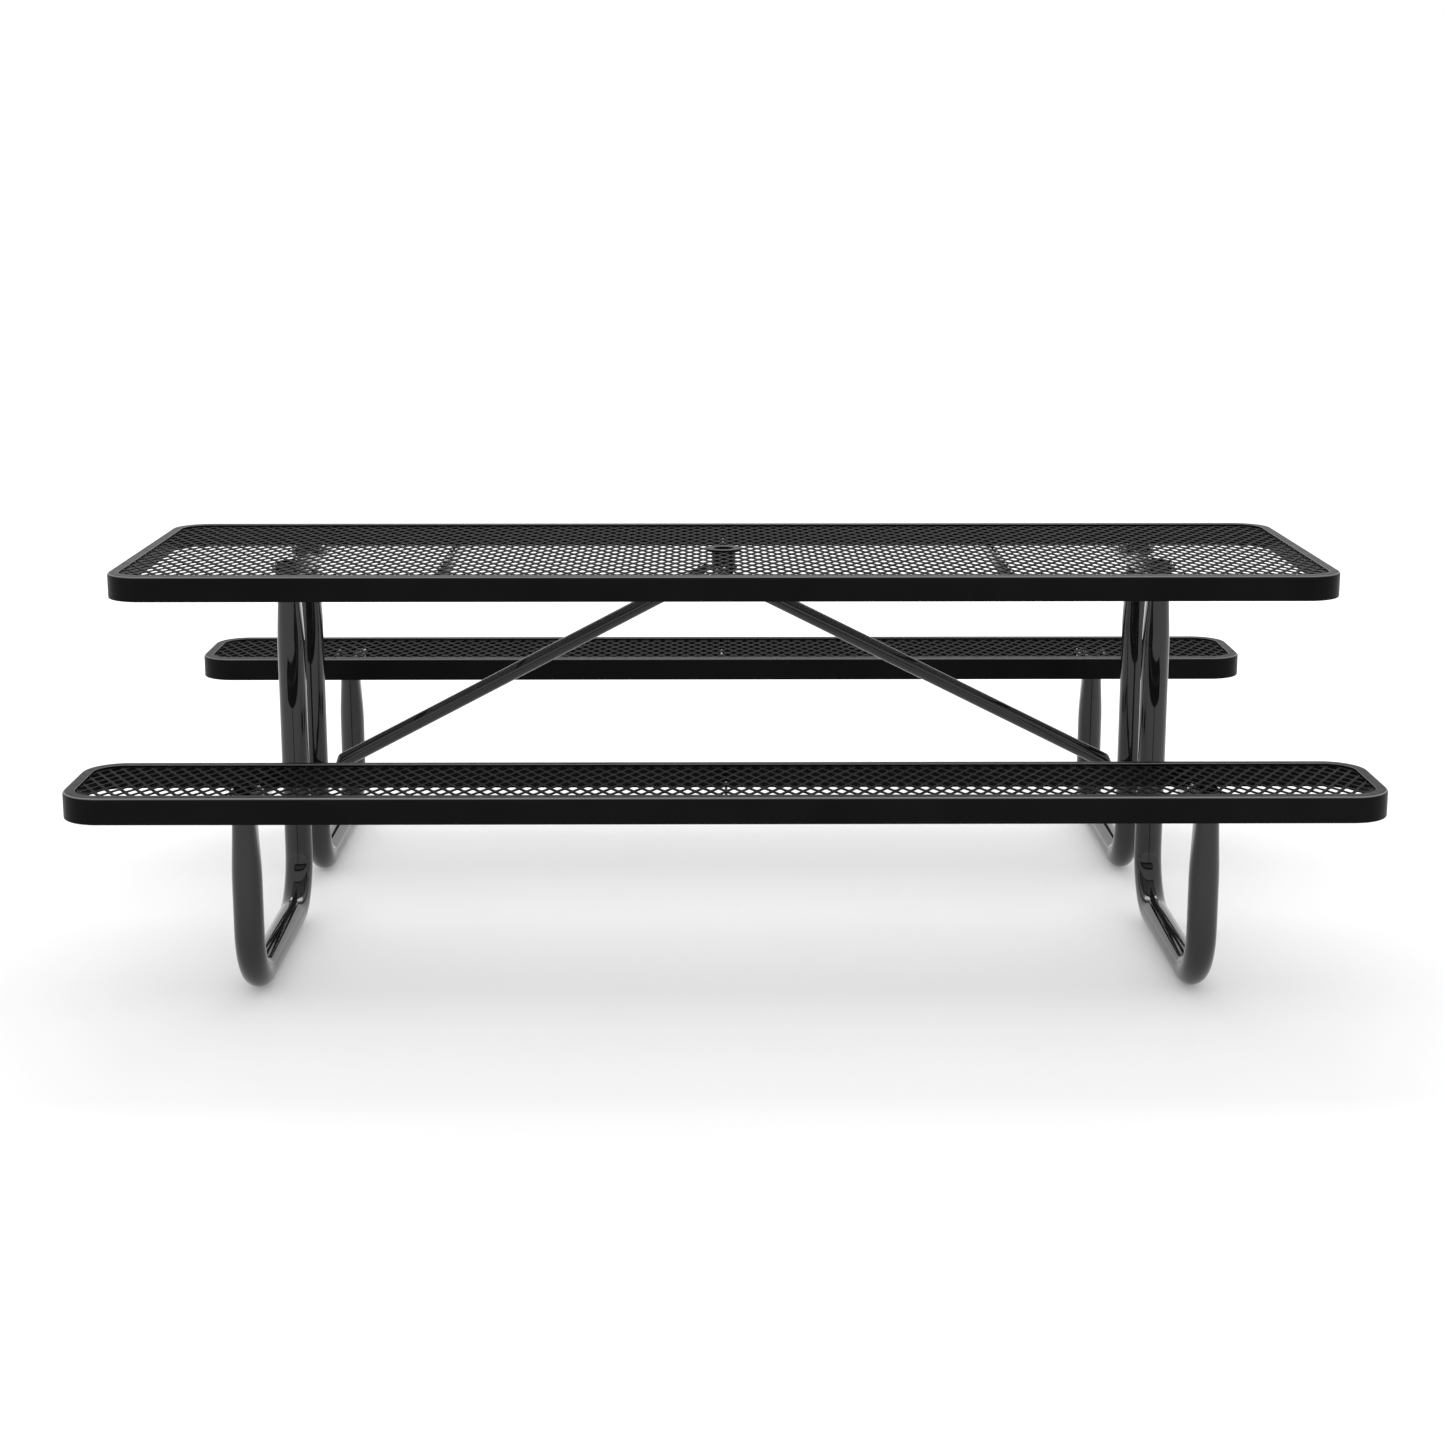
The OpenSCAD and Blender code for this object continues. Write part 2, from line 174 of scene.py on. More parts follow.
def paint_edge_highlight(material, low_slope, middle_slope, high_slope, highlight_lift):
    """Adds a painted highlight to the colour: a light line where the surface turns from upright to level.
    """
    tree = material.node_tree
    shader = tree.nodes["Principled BSDF"]
    colour = shader.inputs["Base Color"].links[0].from_socket
    place = tree.nodes.new("ShaderNodeTexCoord")
    parts = tree.nodes.new("ShaderNodeSeparateXYZ")
    tree.links.new(place.outputs["Normal"], parts.inputs["Vector"])
    line = ramp(tree, parts.outputs["Z"], (0, 0, 0, 1), (0, 0, 0, 1), low_slope, high_slope)
    highlight_peak = line.node.color_ramp.elements.new(middle_slope)
    highlight_peak.color = grey(highlight_lift)
    total = tree.nodes.new("ShaderNodeVectorMath")
    total.operation = "ADD"
    tree.links.new(colour, total.inputs[0])
    tree.links.new(line, total.inputs[1])
    tree.links.new(total.outputs["Vector"], shader.inputs["Base Color"])


# Painted highlight: a light line added to the rim coating's colour wherever its surface turns from
# upright to level, on the rims' rounded edges and the sleeve's collar.
paint_edge_highlight(rim_coating, 0.40, 0.78, 0.97, 0.26)
fastener_steel = finish_material(
    "fastener_steel", grey(0.30, 0.02), grey(0.46, 0.02), 220.0, (0.26, 0.42), 500.0,
    [(1500.0, 0.10, 0.0002)], Metallic=1.0)
MATERIALS = {
    "rim_coating": rim_coating,
    "mesh_coating": mesh_coating,
    "frame_paint": frame_paint,
    "fastener_steel": fastener_steel,
}

# ---- mesh building ----


def place_piece(name, mesh, slot, replaced):
    """Adds a finished mesh as a piece of the object that stands for CAD nodes."""
    mesh.materials.append(MATERIALS[slot])
    piece = bpy.data.objects.new(name, mesh)
    bpy.context.scene.collection.objects.link(piece)
    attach(piece, "root")
    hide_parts(*replaced)
    return piece


def close_up(bm, name):
    """Turns a bmesh into a mesh with all its faces outwards."""
    bmesh.ops.recalc_face_normals(bm, faces=bm.faces)
    mesh = bpy.data.meshes.new(name)
    bm.to_mesh(mesh)
    bm.free()
    return mesh


def add_loft(bm, rings, closed_path=False):
    """Joins rings of points, each as long as the next, with smooth quads, and caps an open path."""
    made = [[bm.verts.new(p) for p in ring] for ring in rings]
    count = len(rings[0])
    pairs = list(zip(made, made[1:]))
    if closed_path:
        pairs.append((made[-1], made[0]))
    for first, second in pairs:
        for i in range(count):
            j = (i + 1) % count
            bm.faces.new((first[i], first[j], second[j], second[i])).smooth = True
    if not closed_path:
        bm.faces.new(made[0][::-1])
        bm.faces.new(made[-1])


def arc(cx, cy, radius, start, stop, steps):
    """Points on an arc, ends included, angles in degrees."""
    return [
        (cx + radius * math.cos(math.radians(start + (stop - start) * k / steps)),
         cy + radius * math.sin(math.radians(start + (stop - start) * k / steps)))
        for k in range(steps + 1)
    ]


LONG_SIDE_GAPS = 6  # a side longer than this many gaps gets the extra points


def supported(points, gap=0.0004):
    """The closed outline with a point near both ends of each long side, so that flats shade flat."""
    out = []
    for a, b in zip(points, points[1:] + points[:1]):
        out.append(a)
        length = math.dist(a, b)
        if length > LONG_SIDE_GAPS * gap:
            for share in (gap / length, 1 - gap / length):
                out.append((a[0] + (b[0] - a[0]) * share, a[1] + (b[1] - a[1]) * share))
    return out


def round_outline(corners, steps=4):
    """Closed outline from (x, y, radius) corners, each rounded by its own radius."""
    out = []
    count = len(corners)
    for k, (x, y, radius) in enumerate(corners):
        here = Vector((x, y))
        back = (Vector(corners[k - 1][:2]) - here).normalized()
        ahead = (Vector(corners[(k + 1) % count][:2]) - here).normalized()
        half = math.acos(max(-1.0, min(1.0, back.dot(ahead)))) / 2
        centre = here + (back + ahead).normalized() * (radius / math.sin(half))
        start = here + back * (radius / math.tan(half)) - centre
        stop = here + ahead * (radius / math.tan(half)) - centre
        turn = start.angle_signed(stop)
        for i in range(steps + 1):
            spoke = start.copy()
            spoke.rotate(Matrix.Rotation(-turn * i / steps, 2))
            out.append(tuple(centre + spoke))
    return out


# ---- rims ----

RUN_MIN = 0.05  # a straight run of a rim is longer than this
RUN_END = 0.001  # from the end of a straight run to its extra section


def rim_section():
    """Closed section of a rim: outer face at x = 0, top at y = 0, the inside towards -x."""
    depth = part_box("table_rim")[1].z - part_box("table_rim")[0].z
    lip = RIM_T / 2
    inner_r = RIM_EDGE_R - RIM_T
    points = arc(-lip, -depth + lip, lip, 180, 360, 10)
    points += arc(-RIM_EDGE_R, -RIM_EDGE_R, RIM_EDGE_R, 0, 90, 10)
    points += arc(-RIM_FLANGE + lip, -lip, lip, 90, 270, 10)
    points += arc(-RIM_EDGE_R, -RIM_EDGE_R, inner_r, 90, 0, 6)
    return supported(points)


def rounded_path(low, high, radius, steps=24):
    """Points of a rounded rectangle, each with its outward direction."""
    path = []
    for sx, sy, start in ((1, 1, 0), (-1, 1, 90), (-1, -1, 180), (1, -1, 270)):
        cx = (high.x - radius) if sx > 0 else (low.x + radius)
        cy = (high.y - radius) if sy > 0 else (low.y + radius)
        for k in range(steps + 1):
            angle = math.radians(start + 90 * k / steps)
            out = Vector((math.cos(angle), math.sin(angle), 0))
            path.append((Vector((cx, cy, 0)) + out * radius, out))
    return path


def build_rim(node):
    low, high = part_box(node)
    section = rim_section()
    path = rounded_path(low, high, CORNER_R)
    with_ends = []
    for (point, out), (after, out_after) in zip(path, path[1:] + path[:1]):
        with_ends.append((point, out))
        run = after - point
        if run.length > RUN_MIN:
            with_ends.append((point + run.normalized() * RUN_END, out))
            with_ends.append((after - run.normalized() * RUN_END, out_after))
    bm = bmesh.new()
    add_loft(bm, [
        [point + out * x + Vector((0, 0, high.z + y)) for x, y in section]
        for point, out in with_ends], closed_path=True)
    return place_piece(node + "_coated", close_up(bm, node), "rim_coating", [node])


for rim_node in ("table_rim", "front_bench_rim", "rear_bench_rim"):
    build_rim(rim_node)

# ---- expanded metal ----

CELL_X = 0.0283
CELL_Y = 0.0509
STRAND_W = 0.0063
KNUCKLE_HALF = 0.0052  # half the strands' joint, along X
KNUCKLE_BULGE = 0.0003
KNUCKLE_NARROW = 0.9
EDGE_CUT = 0.0011  # width of the bevel round each opening
SIDE_DROP = 0.0009  # height of that bevel
TIP_HALF = 0.0013  # half the blunt end of an opening, along X
TIP_CUT = 0.00032
SHEET_INSET = 0.012  # from the rim's outer face to the sheet's edge
HOLE_TUCK = 0.0006  # how far the sheet runs into the collar
HOLE_SPOKES = 32


def opening_outline():
    """One opening round the middle of its cell, long way along Y."""
    side = math.hypot(CELL_X, CELL_Y) / 2
    shrink = 1 - STRAND_W / 2 / (CELL_X * CELL_Y / 4 / side)
    half_x, half_y = CELL_X / 2 * shrink, CELL_Y / 2 * shrink
    flat_x = CELL_X / 2 - KNUCKLE_HALF
    flat_y = half_y * (1 - flat_x / half_x)
    tip_y = half_y * (1 - TIP_HALF / half_x) - TIP_CUT
    quarter = [(flat_x, flat_y * KNUCKLE_NARROW), (TIP_HALF, tip_y)]
    return (
        [(flat_x + KNUCKLE_BULGE, 0.0)] + quarter + [(-x, y) for x, y in quarter[::-1]]
        + [(-flat_x - KNUCKLE_BULGE, 0.0)] + [(-x, -y) for x, y in quarter]
        + [(x, -y) for x, y in quarter[::-1]]
    )


def annulus(outer, inner):
    """Triangles between two closed outlines round the origin, as (ring, index) corners."""
    def angles(ring):
        return [math.atan2(y, x) % (2 * math.pi) for x, y in ring]
    a, b = angles(outer), angles(inner)
    i = j = 0
    faces = []
    while i < len(a) or j < len(b):
        next_a = a[i + 1] if i + 1 < len(a) else 2 * math.pi
        next_b = b[j + 1] if j + 1 < len(b) else 2 * math.pi
        if j >= len(b) or (i < len(a) and next_a <= next_b):
            faces.append((("o", i), ("o", (i + 1) % len(a)), ("i", j % len(b))))
            i += 1
        else:
            faces.append((("i", (j + 1) % len(b)), ("i", j), ("o", i % len(a))))
            j += 1
    return faces


def cell_faces(bottom, top):
    """Faces of one cell round its middle, each with whether it is flat: its share of the strands."""
    outer = [(CELL_X / 2, 0.0), (0.0, CELL_Y / 2), (-CELL_X / 2, 0.0), (0.0, -CELL_Y / 2)]
    hole = opening_outline()
    grown = [
        (x + EDGE_CUT * x / math.hypot(x, y), y + EDGE_CUT * y / math.hypot(x, y))
        for x, y in hole
    ]
    faces = []
    for z, ring in ((top, grown), (bottom, hole)):
        rings = {"o": outer, "i": ring}
        for triangle in annulus(outer, ring):
            corners = [Vector((*rings[which][k], z)) for which, k in triangle]
            faces.append((corners if z == top else corners[::-1], True))
    for k in range(len(hole)):
        m = (k + 1) % len(hole)
        faces.append(([
            Vector((*grown[k], top)), Vector((*grown[m], top)),
            Vector((*hole[m], top - SIDE_DROP)), Vector((*hole[k], top - SIDE_DROP))], False))
        faces.append(([
            Vector((*hole[k], top - SIDE_DROP)), Vector((*hole[m], top - SIDE_DROP)),
            Vector((*hole[m], bottom)), Vector((*hole[k], bottom))], False))
    return faces


def cut(polygon, point, normal):
    """The part of a flat polygon on the side of an upright plane that its normal points away from."""
    sides = [(p - point).dot(normal) for p in polygon]
    if max(sides) <= 0:
        return polygon
    out = []
    for k, p in enumerate(polygon):
        q, here, there = polygon[(k + 1) % len(polygon)], sides[k], sides[(k + 1) % len(polygon)]
        if here <= 0:
            out.append(p)
        if (here < 0 < there) or (there < 0 < here):
            out.append(p.lerp(q, here / (here - there)))
    return out if len(out) > 2 else []


def build_sheet(node, first_y, hole_r=0.0):
    """Lays cells from a row at first_y, cut at the sheet's edge and at a round hole in the middle."""
    low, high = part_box(node)
    rim_low, rim_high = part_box(node.replace("_mesh", "_rim"))
    inset = Vector((SHEET_INSET, SHEET_INSET, 0))
    path = rounded_path(rim_low + inset, rim_high - inset, CORNER_R - SHEET_INSET, 12)
    reach_x = rim_high.x - SHEET_INSET
    reach_y = (rim_high.y - rim_low.y) / 2 - SHEET_INSET
    middle_y = (rim_low.y + rim_high.y) / 2
    template = cell_faces(low.z, high.z)
    turns = [k * math.tau / HOLE_SPOKES for k in range(HOLE_SPOKES)]
    spokes = [Vector((math.cos(a), math.sin(a), 0)) for a in turns]
    bm = bmesh.new()
    known = {}

    def vertex(p):
        key = (round(p.x, 6), round(p.y, 6), round(p.z, 6))
        if key not in known:
            known[key] = bm.verts.new(p)
        return known[key]

    def add(polygon, flat):
        corners = []
        for p in polygon:
            v = vertex(p)
            if v not in corners:
                corners.append(v)
        if len(corners) > 2:
            try:
                bm.faces.new(corners).smooth = not flat
            except ValueError:
                pass  # the face is there already

    first_row = int((middle_y - reach_y - first_y) / CELL_Y * 2) - 2
    last_row = int((middle_y + reach_y - first_y) / CELL_Y * 2) + 2
    columns = int(reach_x / CELL_X) + 2
    safe_x, safe_y = reach_x - CORNER_R, reach_y - CORNER_R
    for row in range(first_row, last_row + 1):
        y = first_y + row * CELL_Y / 2
        for column in range(-columns, columns + 1):
            x = (column + (row % 2) / 2) * CELL_X
            if abs(x) > reach_x + CELL_X / 2 or abs(y - middle_y) > reach_y + CELL_Y / 2:
                continue
            centre = Vector((x, y, 0))
            clear = abs(x) < reach_x - CELL_X / 2 and abs(y - middle_y) < reach_y - CELL_Y / 2
            at_corner = abs(x) > safe_x and abs(y - middle_y) > safe_y
            near_hole = hole_r and centre.length < hole_r + CELL_Y / 2
            for polygon, flat in template:
                moved = [p + centre for p in polygon]
                if not clear or at_corner:
                    for point, out in path:
                        moved = cut(moved, point, out)
                        if not moved:
                            break
                if not moved:
                    continue
                if not near_hole:
                    add(moved, flat)
                    continue
                for spoke in spokes:
                    beyond = cut(moved, spoke * hole_r, -spoke)
                    if beyond:
                        add(beyond, flat)
                    moved = cut(moved, spoke * hole_r, spoke)
                    if not moved:
                        break
    outer_edges = [
        e for e in bm.edges
        if e.is_boundary and (not hole_r or (e.verts[0].co.xy.length > hole_r * 1.5))
    ]
    bmesh.ops.holes_fill(bm, edges=outer_edges, sides=0)
    mesh = bpy.data.meshes.new(node)
    bm.to_mesh(mesh)
    bm.free()
    return place_piece(node + "_expanded", mesh, "mesh_coating", [node])


TABLE_FIRST_Y = -0.3352
BENCH_MIDDLE_Y = (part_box("rear_bench_rim")[0].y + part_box("rear_bench_rim")[1].y) / 2
build_sheet("table_mesh", TABLE_FIRST_Y, COLLAR_D / 2 - HOLE_TUCK)
build_sheet("front_bench_mesh", -BENCH_MIDDLE_Y)
build_sheet("rear_bench_mesh", BENCH_MIDDLE_Y)

# ---- leg tubes ----

RING_POINTS = 56
TAPER_STEPS = 16
BEND_STEPS = 28
MOUTH_STATIONS = 6
TOP_LEAD = 0.002
TAPER_LEAD = 0.004
BEND_LEAD = 0.003


def press_ring(share, inset=0.0):
    """Section of an upright between round, share 0, and pressed, share 1: (across X, along Y)."""
    thick = TUBE_D + (PRESS_T - TUBE_D) * share
    straight = math.pi / 2 * (TUBE_D - thick) / 2
    radius = thick / 2 - inset
    ring = []
    for k in range(RING_POINTS):
        angle = (k + 0.5) * math.tau / RING_POINTS
        side = 1 if math.sin(angle) > 0 else -1
        ring.append((radius * math.cos(angle), side * straight + radius * math.sin(angle)))
    return ring


def smooth_step(t):
    return t * t * (3 - 2 * t)


def leg_stations(inner_top, outer_top):
    """Stations along the tube: point in the (y, z) plane, direction there, how far it is pressed."""
    low_z = TUBE_R + BEND_R
    stations = []

    def upright(y, top, heading):
        run = [(top, 1.0), (top - TOP_LEAD, 1.0), (top - PRESS_L, 1.0)]
        for k in range(1, TAPER_STEPS + 1):
            down = k / TAPER_STEPS
            run.append((top - PRESS_L - TAPER_L * down, 1 - smooth_step(down)))
        run += [(top - PRESS_L - TAPER_L - TAPER_LEAD, 0.0), (low_z + BEND_LEAD, 0.0)]
        return [(Vector((y, z)), Vector((0, heading)), share) for z, share in run]

    bend = [math.radians(90 * k / BEND_STEPS) for k in range(BEND_STEPS + 1)]
    stations += upright(INNER_Y, inner_top, -1)
    for angle in bend:
        point = Vector((INNER_Y + BEND_R * (1 - math.cos(angle)), low_z - BEND_R * math.sin(angle)))
        stations.append((point, Vector((math.sin(angle), -math.cos(angle))), 0.0))
    for y in (INNER_Y + BEND_R + BEND_LEAD, OUTER_Y - BEND_R - BEND_LEAD):
        stations.append((Vector((y, TUBE_R)), Vector((1, 0)), 0.0))
    for angle in bend:
        point = Vector((OUTER_Y - BEND_R * (1 - math.sin(angle)), low_z - BEND_R * math.cos(angle)))
        stations.append((point, Vector((math.cos(angle), math.sin(angle))), 0.0))
    stations += upright(OUTER_Y, outer_top, 1)[::-1]
    return stations


def build_leg(node, side_x, side_y):
    stations = leg_stations(TABLE_BAR_Z - LEG_TOP_GAP, BENCH_BAR_Z - LEG_TOP_GAP)

    def ring(station, inset=0.0):
        point, heading, share = station
        across = Vector((-heading.y, heading.x))
        return [
            Vector((side_x * LEG_X + x, side_y * (point.x + across.x * w), point.y + across.y * w))
            for x, w in press_ring(share, inset)
        ]

    rings = [ring(s) for s in stations]
    inner_mouth = [ring(s, TUBE_WALL) for s in stations[:MOUTH_STATIONS]]
    outer_mouth = [ring(s, TUBE_WALL) for s in stations[-MOUTH_STATIONS:]]
    bm = bmesh.new()
    add_loft(bm, inner_mouth[::-1] + rings + outer_mouth[::-1])
    return place_piece(node + "_tube", close_up(bm, node), "frame_paint", [node])


for name_x, sx in (("left", -1), ("right", 1)):
    for name_y, sy in (("front", -1), ("rear", 1)):
        build_leg(f"leg_{name_y}_{name_x}", sx, sy)

# ---- braces ----

BRACE_BOLT_X = TIE_EDGE_X + TIE_BOLT_IN
BRACE_RUN = math.hypot(BRACE_BOLT_X, BRACE_Y)
BRACE_TURN = math.atan2(BRACE_Y, BRACE_BOLT_X)
LOWER_TIP_S = BRACE_RUN + TAB_PAST
UPPER_TIP_S = UPPER_BOLT_S - TAB_PAST
TUBE_RISE = 0.0064
NECK_RUN = 0.030
NECK_LEAD = 0.004
NECK_STEPS = 12
TIP_STEPS = 12
LOWER_LIFT = 0.0003


def brace_line(s):
    """Height of the round tube's centre line."""
    top = BRACE_TOP_Z + TUBE_RISE
    return top - s * (top - TIE_TOP_Z - TAB_T / 2 - LOWER_LIFT) / BRACE_RUN


def flat_round_ring(width, thick):
    """Outline of a flattened tube: width along the first axis, thick along the second."""
    straight = max(0.0, width - thick) / 2
    radius = thick / 2
    ring = []
    for k in range(RING_POINTS):
        angle = (k + 0.5) * math.tau / RING_POINTS
        side = 1 if math.cos(angle) > 0 else -1
        ring.append((side * straight + radius * math.cos(angle), radius * math.sin(angle)))
    return ring


def brace_stations():
    """Rings along the brace: (s, centre height, width, thickness, tilt of the section)."""
    upper_z = BRACE_TOP_Z - TAB_T / 2
    lower_z = TIE_TOP_Z + TAB_T / 2
    slope = math.atan2(brace_line(0) - brace_line(1), 1)

    def tip(end, inwards, z):
        """The half-round end of a flattened tab, from its tip inwards."""
        rows = []
        for k in range(1, TIP_STEPS + 1):
            angle = math.pi / 2 * k / TIP_STEPS
            s = end + inwards * TAB_W / 2 * (1 - math.cos(angle))
            rows.append((s, z, TAB_W * math.sin(angle), TAB_T, 0))
        return rows

    def neck(s, tab_z, share):
        """A section between the tab, share 0, and the round tube, share 1."""
        z = tab_z + (brace_line(s) - tab_z) * share
        width = TAB_W + (BRACE_D - TAB_W) * share
        thick = TAB_T + (BRACE_D - TAB_T) * share
        return s, z, width, thick, slope * share

    far = BRACE_RUN - LOWER_ROOT_IN - NECK_RUN
    rows = tip(UPPER_TIP_S, 1, upper_z)
    rows.append((UPPER_ROOT_S, upper_z, TAB_W, TAB_T, 0))
    for k in range(1, NECK_STEPS + 1):
        run = k / NECK_STEPS
        rows.append(neck(UPPER_ROOT_S + NECK_RUN * run, upper_z, smooth_step(run)))
    for s in (UPPER_ROOT_S + NECK_RUN + NECK_LEAD, far - NECK_LEAD):
        rows.append((s, brace_line(s), BRACE_D, BRACE_D, slope))
    for k in range(NECK_STEPS + 1):
        run = k / NECK_STEPS
        rows.append(neck(far + NECK_RUN * run, lower_z, 1 - smooth_step(run)))
    return rows + tip(LOWER_TIP_S, -1, lower_z)[::-1]


def brace_place(turned):
    """Frame of a brace: its own x runs from the middle of the table down to the tie bar."""
    place = Matrix.Translation((0, BRACE_Y, 0)) @ Matrix.Rotation(math.pi + BRACE_TURN, 4, "Z")
    return Matrix.Rotation(math.pi, 4, "Z") @ place if turned else place


def build_brace(node, turned):
    place = brace_place(turned)
    rings = []
    for s, z, width, thick, tilt in brace_stations():
        ring = []
        for across, up in flat_round_ring(width, thick):
            local = Vector((s + up * math.sin(tilt), across, z + up * math.cos(tilt)))
            ring.append(place @ local)
        rings.append(ring)
    bm = bmesh.new()
    add_loft(bm, rings)
    return place_piece(node + "_tube", close_up(bm, node), "frame_paint", [node])


build_brace("brace_left", False)
build_brace("brace_right", True)

# ---- tie bars and flat bars ----

ROLL_R = 0.0008
TOE_R = 0.0012
FILLET_R = 0.003
BAR_GAP = 0.0003  # from a bar's corner to the extra point on its side


def angle_outline(across, drop):
    """Section of a steel angle: top leg from x = 0 to -across, upright leg at x = 0, top at y = 0."""
    return supported(round_outline([
        (0, 0, ROLL_R), (0, -drop, ROLL_R), (-BAR_T, -drop, TOE_R),
        (-BAR_T, -BAR_T, FILLET_R), (-across, -BAR_T, TOE_R), (-across, 0, ROLL_R)]), BAR_GAP)


def add_run(bm, outline, origin, side, length):
    """Sweeps an outline along Y for a length centred on origin, its x towards side."""
    add_loft(bm, [
        [origin + Vector((side * x, t, y)) for x, y in outline]
        for t in (-length / 2, length / 2)])


def build_tie_bar(node):
    low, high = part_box(node)
    side = 1 if low.x + high.x > 0 else -1
    outer_x = high.x if side > 0 else low.x
    origin = Vector((outer_x, (low.y + high.y) / 2, high.z))
    bm = bmesh.new()
    add_run(bm, angle_outline(high.x - low.x, high.z - low.z), origin, side, high.y - low.y)
    return place_piece(node + "_steel", close_up(bm, node), "frame_paint", [node])


build_tie_bar("tie_bar_left")
build_tie_bar("tie_bar_right")


def bar_outline(width, height):
    """Section of a flat bar: its top edge in the middle at y = 0."""
    half = width / 2
    corners = ((half, 0), (half, -height), (-half, -height), (-half, 0))
    return supported(round_outline([(x, y, ROLL_R) for x, y in corners]), BAR_GAP)


def build_flat_bar(node):
    low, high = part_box(node)
    bm = bmesh.new()
    middle = (low + high) / 2
    middle.z = high.z
    add_run(bm, bar_outline(high.x - low.x, high.z - low.z), middle, 1, high.y - low.y)
    return place_piece(node + "_steel", close_up(bm, node), "frame_paint", [node])


for bar_node in ("table_end_bar", "table_mid_bar", "front_bench_end_bar", "rear_bench_end_bar"):
    build_flat_bar(bar_node + "_left")
    build_flat_bar(bar_node + "_right")
build_flat_bar("front_bench_centre_bar")
build_flat_bar("rear_bench_centre_bar")


def build_centre_bar(node):
    """A half of the bar under the tabletop's middle, from the sleeve to the rim, with its lug."""
    low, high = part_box(node)
    bm = bmesh.new()
    side = 1 if low.y + high.y > 0 else -1
    near = SLEEVE_BORE / 2 + SLEEVE_WALL / 2
    far = abs(high.y) if side > 0 else abs(low.y)
    middle = Vector((0, side * (near + far) / 2, high.z))
    add_run(bm, bar_outline(BAR_T, high.z - low.z), middle, 1, far - near)
    lug = Vector((0, side * BRACE_Y, low.z + BAR_T))
    add_run(bm, bar_outline(LUG_W, BAR_T), lug, 1, LUG_W)
    return place_piece(node + "_steel", close_up(bm, node), "frame_paint", [node])


build_centre_bar("table_centre_bar_front")
build_centre_bar("table_centre_bar_rear")

# ---- umbrella sleeve ----

TUBE_EDGE_R = 0.0006
COLLAR_FOOT_R = 0.0008
COLLAR_TOP_R = 0.0012


def lathe(bm, outline, place, steps=64):
    """Turns a closed (radius, height) outline round the z axis of place."""
    rings = []
    for k in range(steps):
        angle = math.tau * k / steps
        ring = [Vector((r * math.cos(angle), r * math.sin(angle), z)) for r, z in outline]
        rings.append([place @ p for p in ring])
    add_loft(bm, rings, closed_path=True)


def build_sleeve():
    low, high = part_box("umbrella_sleeve")
    bore = SLEEVE_BORE / 2
    tube = bore + SLEEVE_WALL
    outline = supported(round_outline([
        (bore, low.z, TUBE_EDGE_R), (tube, low.z, TUBE_EDGE_R), (tube, TABLE_BAR_Z, TUBE_EDGE_R),
        (COLLAR_D / 2, TABLE_BAR_Z, COLLAR_FOOT_R), (COLLAR_D / 2, high.z, COLLAR_TOP_R),
        (bore, high.z, COLLAR_TOP_R)]))
    bm = bmesh.new()
    lathe(bm, outline, Matrix.Identity(4))
    sleeve = close_up(bm, "sleeve")
    return place_piece("umbrella_sleeve_ring", sleeve, "rim_coating", ["umbrella_sleeve"])


build_sleeve()

# ---- fasteners: axis along z, the clamped stack from z = 0 down to -grip ----

HEX_POINTS = 48
SHANK_POINTS = 24
THREAD_PITCH = 0.0014
LEG_THREAD = 0.016
BRACE_THREAD = 0.012
HEX_TURN = 17  # degrees between one head and the next


def hex_ring(limit):
    """Hexagon outline cut back to a circle of radius limit."""
    ring = []
    for k in range(HEX_POINTS):
        angle = math.tau * k / HEX_POINTS
        around = (angle + math.pi / 6) % (math.pi / 3) - math.pi / 6
        radius = min(HEAD_AF / 2 / math.cos(around), limit)
        ring.append((radius * math.cos(angle), radius * math.sin(angle)))
    return ring


def add_hex(bm, place, bottom, top, both_ends=False):
    """Hexagon head or nut with its upper corners, or both ends' corners, turned back."""
    corner = HEAD_AF / math.sqrt(3)
    flat = HEAD_AF / 2
    levels = [(flat * 0.93, 0.0), (flat, 0.00015), (corner, 0.0014)]
    rows = []
    if both_ends:
        rows += [(limit, bottom + rise) for limit, rise in levels]
    else:
        rows += [(corner, bottom), (corner, bottom + 0.0003)]
    rows += [(limit, top - rise) for limit, rise in levels[::-1]]
    add_loft(bm, [[place @ Vector((x, y, z)) for x, y in hex_ring(limit)] for limit, z in rows])


def add_shank(bm, place, top, bottom, threaded):
    """Bolt shank from top down to bottom, its last stretch grooved like a thread."""
    radius = BOLT_D / 2
    rows = [(radius, top), (radius, bottom + threaded)]
    for k in range(int((threaded - 0.001) / THREAD_PITCH)):
        for share, depth in ((0.15, 1.0), (0.5, 0.9), (0.85, 1.0)):
            rows.append((radius * depth, bottom + threaded - (k + share) * THREAD_PITCH))
    rows += [(radius * 0.97, bottom + 0.0008), (radius * 0.80, bottom)]
    turns = [math.tau * k / SHANK_POINTS for k in range(SHANK_POINTS)]
    add_loft(bm, [
        [place @ Vector((r * math.cos(a), r * math.sin(a), z)) for a in turns]
        for r, z in rows])


def add_washer(bm, place, bottom):
    outer, inner, edge = WASHER_D / 2, BOLT_D / 2 + 0.0004, 0.0004
    outline = round_outline([
        (inner, bottom, edge / 2), (outer, bottom, edge),
        (outer, bottom + WASHER_T, edge), (inner, bottom + WASHER_T, edge / 2)], 3)
    lathe(bm, outline, place, 40)


def leg_bolt_places(y, bar_z):
    """Frames on the outboard face of every upright at y, z pointing outboard."""
    for side_x in (-1, 1):
        for side_y in (-1, 1):
            for step in (-1, 1):
                x = side_x * (LEG_X + PRESS_T / 2)
                point = Vector((x, side_y * y + step * BOLT_PITCH / 2, bar_z - BOLT_DROP))
                yield Matrix.Translation(point) @ Matrix.Rotation(side_x * math.pi / 2, 4, "Y")


